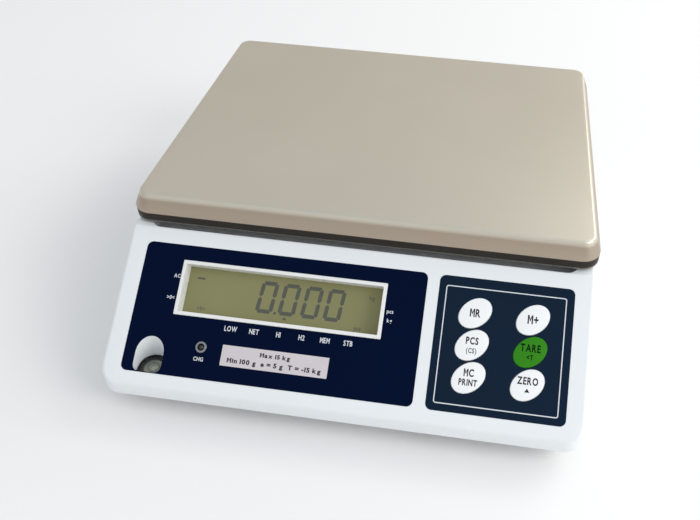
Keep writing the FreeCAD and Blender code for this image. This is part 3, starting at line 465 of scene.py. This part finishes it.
def segmentBars():
    # pointed bars round one figure: top, bottom, then the four upright ones
    w, h, t, g = digit["width"] / 2, digit["height"] / 2, digit["stroke"] / 2, digit["gap"]
    across = [(-w + 2 * t + g, h - 2 * t), (w - 2 * t - g, h - 2 * t), (w - t - g, h - t),
              (w - 1.4 * t, h), (-w + 1.4 * t, h), (-w + t + g, h - t)]
    upright = [(w - 2 * t, g + t), (w - t, g), (w, g + t), (w, h - 1.4 * t), (w - t, h - t - g),
               (w - 2 * t, h - 2 * t - g)]
    bars = [across, [(x, -y) for x, y in across[::-1]]]
    for sx in (1, -1):
        for sy in (1, -1):
            bars.append([(x * sx, y * sy) for x, y in upright])
    return bars


def triangle(x, y, half, tall):
    return [(x - half, y - tall / 2), (x + half, y - tall / 2), (x, y + tall / 2)]


def displayFigures():
    bm = bmesh.new()
    for k in range(4):
        for bar in segmentBars():
            leaned = [(x + digit["lean"] * y + k * digit["pitch"], y) for x, y in bar]
            flatBar(bm, leaned, digit["thick"])
    dotX, low = digit["pitch"] / 2 - digit["dotBack"], -digit["height"] / 2
    wide, tall, lean = digit["dot"]
    flatBar(bm, [(dotX, low), (dotX + wide, low), (dotX + wide + lean, low + tall),
                 (dotX + lean, low + tall)], digit["thick"])
    x, s, half, tall = lcdMarks["pointer"]
    x, y = x - digit["first"], digit["middle"] - s
    flatBar(bm, triangle(x, y, half, tall), digit["thick"])
    x, s, wide, tall = lcdMarks["dash"]
    x, y = x - digit["first"], digit["middle"] - s
    flatBar(bm, [(x - wide / 2, y - tall / 2), (x + wide / 2, y - tall / 2),
                 (x + wide / 2, y + tall / 2), (x - wide / 2, y + tall / 2)], digit["thick"])
    mesh = meshFrom(bm, "displayFigures")
    mesh.transform(toPanel @ Matrix.Translation((digit["first"] * mm, -digit["middle"] * mm,
                                                 lcdLift * mm)))
    return mesh


finishes["lcdInk"] = surface("lcdInk", {"colour": (0.105, 0.112, 0.092), "rough": 0.4, "gloss": 0.1,
                                        "drift": 0.05, "driftScale": 400})
addPiece("display_figures", displayFigures(), "lcdInk", "housing")
addPiece("display_marks", joinMeshes(
    [printedText(word, lcdMarks["height"], x, s, lcdLift, lcdMarks["widen"], thick=lcdMarks["thick"])
     for x, s, word in lcdMarks["words"]], "display_marks"), "lcdInk", "housing")
print("display figures at depth", round(-lcdLift, 2))


# printed legends
statusWords = {"height": 3.2, "down": 61.2, "bold": 0.02, "widen": 0.7,
               "marks": ((-74.1, "LOW"), (-58.8, "NET"), (-42.9, "H1"), (-27.8, "H2"), (-12.7, "MEM"),
                         (2.2, "STB"))}
sideWords = {"height": 2.4, "bold": 0.02, "widen": 0.85,
             "marks": ((-115.9, 31.0, "AC"), (-117.4, 45.5, ">0<"), (25.9, 37.8, "pcs"),
                       (26.2, 43.7, "kg"), (-91.3, 82.6, "CHG"))}
ratingLines = {"lift": 0.15, "bold": 0.042, "widen": 1.12, "thick": 0.01,
               "lines": (("Max 15 kg", 2.5, -42.5, 75.3),
                         ("Min 100 g  e = 5 g  T = -15 kg", 2.7, -42.5, 80.9))}
borderLine = {"edges": (59.6, 136.15, 16.2, 90.6), "width": 0.65, "radius": 1.6, "lift": printLift,
              "thick": 0.02}


def lineFrame(look):
    # thin rectangular line with round corners, drawn on the key film
    x0, x1, s0, s1 = look["edges"]
    bm = bmesh.new()
    bmesh.ops.create_grid(bm, x_segments=1, y_segments=1, size=0.5)
    bmesh.ops.scale(bm, verts=bm.verts, vec=((x1 - x0) * mm, (s1 - s0) * mm, 1))
    bmesh.ops.bevel(bm, geom=bm.verts[:], affect="VERTICES", offset=look["radius"] * mm, segments=5,
                    profile=0.5, material=-1)
    bmesh.ops.inset_region(bm, faces=bm.faces[:], thickness=look["width"] * mm, use_boundary=True,
                           use_even_offset=True)
    middle = max(bm.faces, key=lambda face: face.calc_area())
    bmesh.ops.delete(bm, geom=[middle], context="FACES")
    raised = bmesh.ops.extrude_face_region(bm, geom=bm.faces[:])
    lifted = [v for v in raised["geom"] if isinstance(v, bmesh.types.BMVert)]
    bmesh.ops.translate(bm, verts=lifted, vec=(0, 0, look["thick"] * mm))
    mesh = meshFrom(bm, "borderLine")
    mesh.transform(toPanel @ Matrix.Translation(((x0 + x1) / 2 * mm, -(s0 + s1) / 2 * mm,
                                                 look["lift"] * mm)))
    return mesh


addPiece("status_words", joinMeshes(
    [printedText(word, statusWords["height"], x, statusWords["down"], printLift, statusWords["widen"],
                 statusWords["bold"])
     for x, word in statusWords["marks"]], "status_words"), "printWhite", "housing")
addPiece("side_words", joinMeshes(
    [printedText(word, sideWords["height"], x, s, printLift, sideWords["widen"], sideWords["bold"])
     for x, s, word in sideWords["marks"]], "side_words"), "printWhite", "housing")
addPiece("rating_words", joinMeshes(
    [printedText(words, height, x, s, ratingLines["lift"], ratingLines["widen"], ratingLines["bold"],
                 ratingLines["thick"])
     for words, height, x, s in ratingLines["lines"]], "rating_words"), "printBlack", "housing")
addPiece("keypad_border", lineFrame(borderLine), "printWhite", "housing")

keyWords = {
    "key_recall": [("MR", 4.8, 0, 0, "printBlack")],
    "key_count": [("PCS", 4.2, 0, -2.6, "printBlack"), ("(CS)", 3.0, 0, 3.6, "printGrey")],
    "key_clear": [("MC", 4.3, 0, -3.0, "printBlack"), ("PRINT", 3.7, 0, 3.0, "printBlack")],
    "key_add": [("M+", 5.2, 0, 0, "printBlack")],
    "key_tare": [("TARE", 4.4, 0, -2.4, "printGreen"), ("<T", 3.0, 0, 3.4, "printGreen")],
    "key_zero": [("ZERO", 4.3, 0, -2.4, "printBlack")],
}
keyPrint = {"widen": 0.7, "bold": 0.032, "thick": 0.02}
crown = max((fromPanel @ vertex.co).z for vertex in parts["key_zero"].data.vertices) / mm
for name, lines in keyWords.items():
    centre = panelCentre(name)
    for count, (words, height, dx, ds, ink) in enumerate(lines):
        mesh = printedText(words, height, centre.x / mm + dx, -centre.y / mm + ds, crown + printLift,
                           keyPrint["widen"], keyPrint["bold"], keyPrint["thick"])
        addPiece(name + "_print_" + str(count + 1), mesh, ink, name + "_cap")

zeroMark = {"half": 1.6, "tall": 2.4, "down": 3.4}


def zeroTriangle():
    bm = bmesh.new()
    flatBar(bm, triangle(0, 0, zeroMark["half"], zeroMark["tall"]), keyPrint["thick"])
    mesh = meshFrom(bm, "zeroTriangle")
    centre = panelCentre("key_zero")
    mesh.transform(toPanel @ Matrix.Translation((centre.x, centre.y - zeroMark["down"] * mm,
                                                 (crown + printLift) * mm)))
    return mesh


addPiece("key_zero_print_2", zeroTriangle(), "printBlack", "key_zero_cap")
print("legends printed")


# inside of the sight level
levelLook = {"liquidRadius": 6.35, "floor": 17.02, "surface": 22.4, "bubble": 2.4, "bubbleFlat": 0.32,
             "bubbleAt": (0.5, 0.4), "bubbleLift": 0.03, "markInner": 3.3, "markOuter": 3.75,
             "markUnder": (0.25, 0.1), "segments": 48}
levelLow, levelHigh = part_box("level_lens")
levelMiddle = (levelLow + levelHigh) / 2


def disc(bm, radius, z0, z1, hole=0):
    # round plate or washer standing on z0, all in millimetres
    made = bmesh.ops.create_circle(bm, cap_ends=True, radius=radius * mm,
                                   segments=levelLook["segments"])
    face = made["verts"][0].link_faces[0]
    bmesh.ops.translate(bm, verts=made["verts"], vec=(0, 0, z0 * mm))
    faces = [face]
    if hole:
        faces = bmesh.ops.inset_region(bm, faces=[face], thickness=(radius - hole) * mm,
                                       use_boundary=True, use_even_offset=True)["faces"]
        bmesh.ops.delete(bm, geom=[face], context="FACES")
    raised = bmesh.ops.extrude_face_region(bm, geom=faces)
    lifted = [v for v in raised["geom"] if isinstance(v, bmesh.types.BMVert)]
    bmesh.ops.translate(bm, verts=lifted, vec=(0, 0, (z1 - z0) * mm))


def levelPieces():
    place = Matrix.Translation((levelMiddle.x, levelMiddle.y, 0))
    bm = bmesh.new()
    disc(bm, levelLook["liquidRadius"], levelLook["floor"], levelLook["surface"])
    liquid = meshFrom(bm, "levelLiquid")
    bm = bmesh.new()
    top = levelHigh.z / mm
    low, high = levelLook["markUnder"]
    disc(bm, levelLook["markOuter"], top - low, top - high, levelLook["markInner"])
    mark = meshFrom(bm, "levelMark")
    bm = bmesh.new()
    bmesh.ops.create_uvsphere(bm, u_segments=32, v_segments=16, radius=levelLook["bubble"] * mm)
    bmesh.ops.scale(bm, verts=bm.verts, vec=(1, 1, levelLook["bubbleFlat"]))
    dx, dy = levelLook["bubbleAt"]
    dz = levelLook["surface"] + levelLook["bubbleLift"]
    bmesh.ops.translate(bm, verts=bm.verts, vec=(dx * mm, dy * mm, dz * mm))
    bubble = meshFrom(bm, "levelBubble")
    for name, mesh, finish in (("level_liquid", liquid, "levelFluid"), ("level_mark", mark, "printBlack"),
                               ("level_bubble", bubble, "bubbleAir")):
        mesh.transform(place)
        for polygon in mesh.polygons:
            polygon.use_smooth = name == "level_bubble"
        addPiece(name, mesh, finish, "housing")


levelPieces()
print("level filled")


# welded, smooth-shaded copies stand in for the load cell and its gauge covers, whose CAD parts are
# hidden; the real cell bends between the pedestal it stands on and the riser it carries
beamPieces = {"load_cell": "beam_aluminium", "gauge_covers": "silicone_white"}


def bendingCopy(node):
    bm = bmesh.new()
    bm.from_mesh(parts[node].data)
    bmesh.ops.remove_doubles(bm, verts=bm.verts, dist=weldGap)
    mesh = meshFrom(bm, node + "_bending")
    mesh.materials.append(parts[node].data.materials[0])
    piece = bpy.data.objects.new(node + "_bending", mesh)
    bpy.context.scene.collection.objects.link(piece)
    softenEdges(piece)
    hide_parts(node)
    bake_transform(piece)


for node, slotName in beamPieces.items():
    bendingCopy(node)


# stage, light and camera
stageLook = {"size": 12.0, "colour": (0.90, 0.90, 0.90), "rough": 0.8}


def paleFloor():
    bm = bmesh.new()
    bmesh.ops.create_grid(bm, x_segments=1, y_segments=1, size=stageLook["size"])
    mesh = meshFrom(bm, "floor")
    floor = bpy.data.objects.new("floor", mesh)
    bpy.context.scene.collection.objects.link(floor)
    mesh.materials.append(newMaterial("paleFloor", stageLook)[0])


lampLooks = {
    "backWindow": {"place": (1.7, 1.5, 1.4), "target": (0, 0, 0.05), "size": (1.8, 1.8), "power": 24,
                   "colour": (1, 0.985, 0.95)},
    "sideWindow": {"place": (1.5, -0.6, 1.1), "target": (0, -0.05, 0.05), "size": (1.0, 1.0),
                   "power": 13, "colour": (1, 0.985, 0.95)},
    "roomFill": {"place": (-0.5, -1.6, 0.9), "target": (0, -0.05, 0.05), "size": (1.6, 1.2),
                 "power": 1.6, "colour": (0.78, 0.90, 1)},
}


def softLamp(name, place, target, size, power, colour):
    data = bpy.data.lights.new(name, "AREA")
    data.shape = "RECTANGLE"
    data.size, data.size_y = size
    data.energy = power
    data.color = colour
    lamp = bpy.data.objects.new(name, data)
    bpy.context.scene.collection.objects.link(lamp)
    lamp.location = place
    lamp.rotation_euler = (Vector(target) - Vector(place)).to_track_quat("-Z", "Y").to_euler()


paleFloor()
for name, look in lampLooks.items():
    softLamp(name, **look)

skyLook = ((0.0, (0.60, 0.59, 0.575)), (0.25, (0.58, 0.57, 0.555)), (0.5, (0.755, 0.735, 0.70)),
           (1.0, (0.68, 0.735, 0.81)))
skyFall = (0.90, 1.09)  # how bright the left and the right side of the sky are


def softSky():
    # pale studio surround, dimmer to the left and low down
    world = bpy.data.worlds.new("studio")
    bpy.context.scene.world = world
    world.use_nodes = True
    tree = world.node_tree
    coords = tree.nodes.new("ShaderNodeTexCoord")
    axes = tree.nodes.new("ShaderNodeSeparateXYZ")
    ramp = tree.nodes.new("ShaderNodeValToRGB")
    stops = ramp.color_ramp.elements
    while len(stops) < len(skyLook):
        stops.new(0.5)
    for stop, (place, colour) in zip(stops, skyLook):
        stop.position = place
        stop.color = (*colour, 1)
    link(tree, coords.outputs["Generated"], axes.inputs["Vector"])
    link(tree, axes.outputs["Z"], ramp.inputs["Fac"])
    link(tree, ramp.outputs["Color"], tree.nodes["Background"].inputs["Color"])
    fall = tree.nodes.new("ShaderNodeMapRange")
    fall.inputs["From Min"].default_value = -1
    fall.inputs["To Min"].default_value, fall.inputs["To Max"].default_value = skyFall
    link(tree, axes.outputs["X"], fall.inputs["Value"])
    link(tree, fall.outputs["Result"], tree.nodes["Background"].inputs["Strength"])


softSky()

cameraLook = {"place": (0.0738, -0.4309, 0.4036), "turn": (48.979, -1.673, 7.815), "lens": 37.82,
              "shift": (-0.0881, -0.023), "sensor": 36, "near": 0.01}
cameraData = bpy.data.cameras.new("camera")
camera = bpy.data.objects.new("camera", cameraData)
bpy.context.scene.collection.objects.link(camera)
camera.location = cameraLook["place"]
camera.rotation_euler = Euler([math.radians(a) for a in cameraLook["turn"]])
cameraData.lens = cameraLook["lens"]
cameraData.sensor_width = cameraLook["sensor"]
cameraData.shift_x, cameraData.shift_y = cameraLook["shift"]
cameraData.clip_start = cameraLook["near"]
bpy.context.scene.camera = camera
bpy.context.scene.view_settings.view_transform = "Standard"
print("stage and camera set")
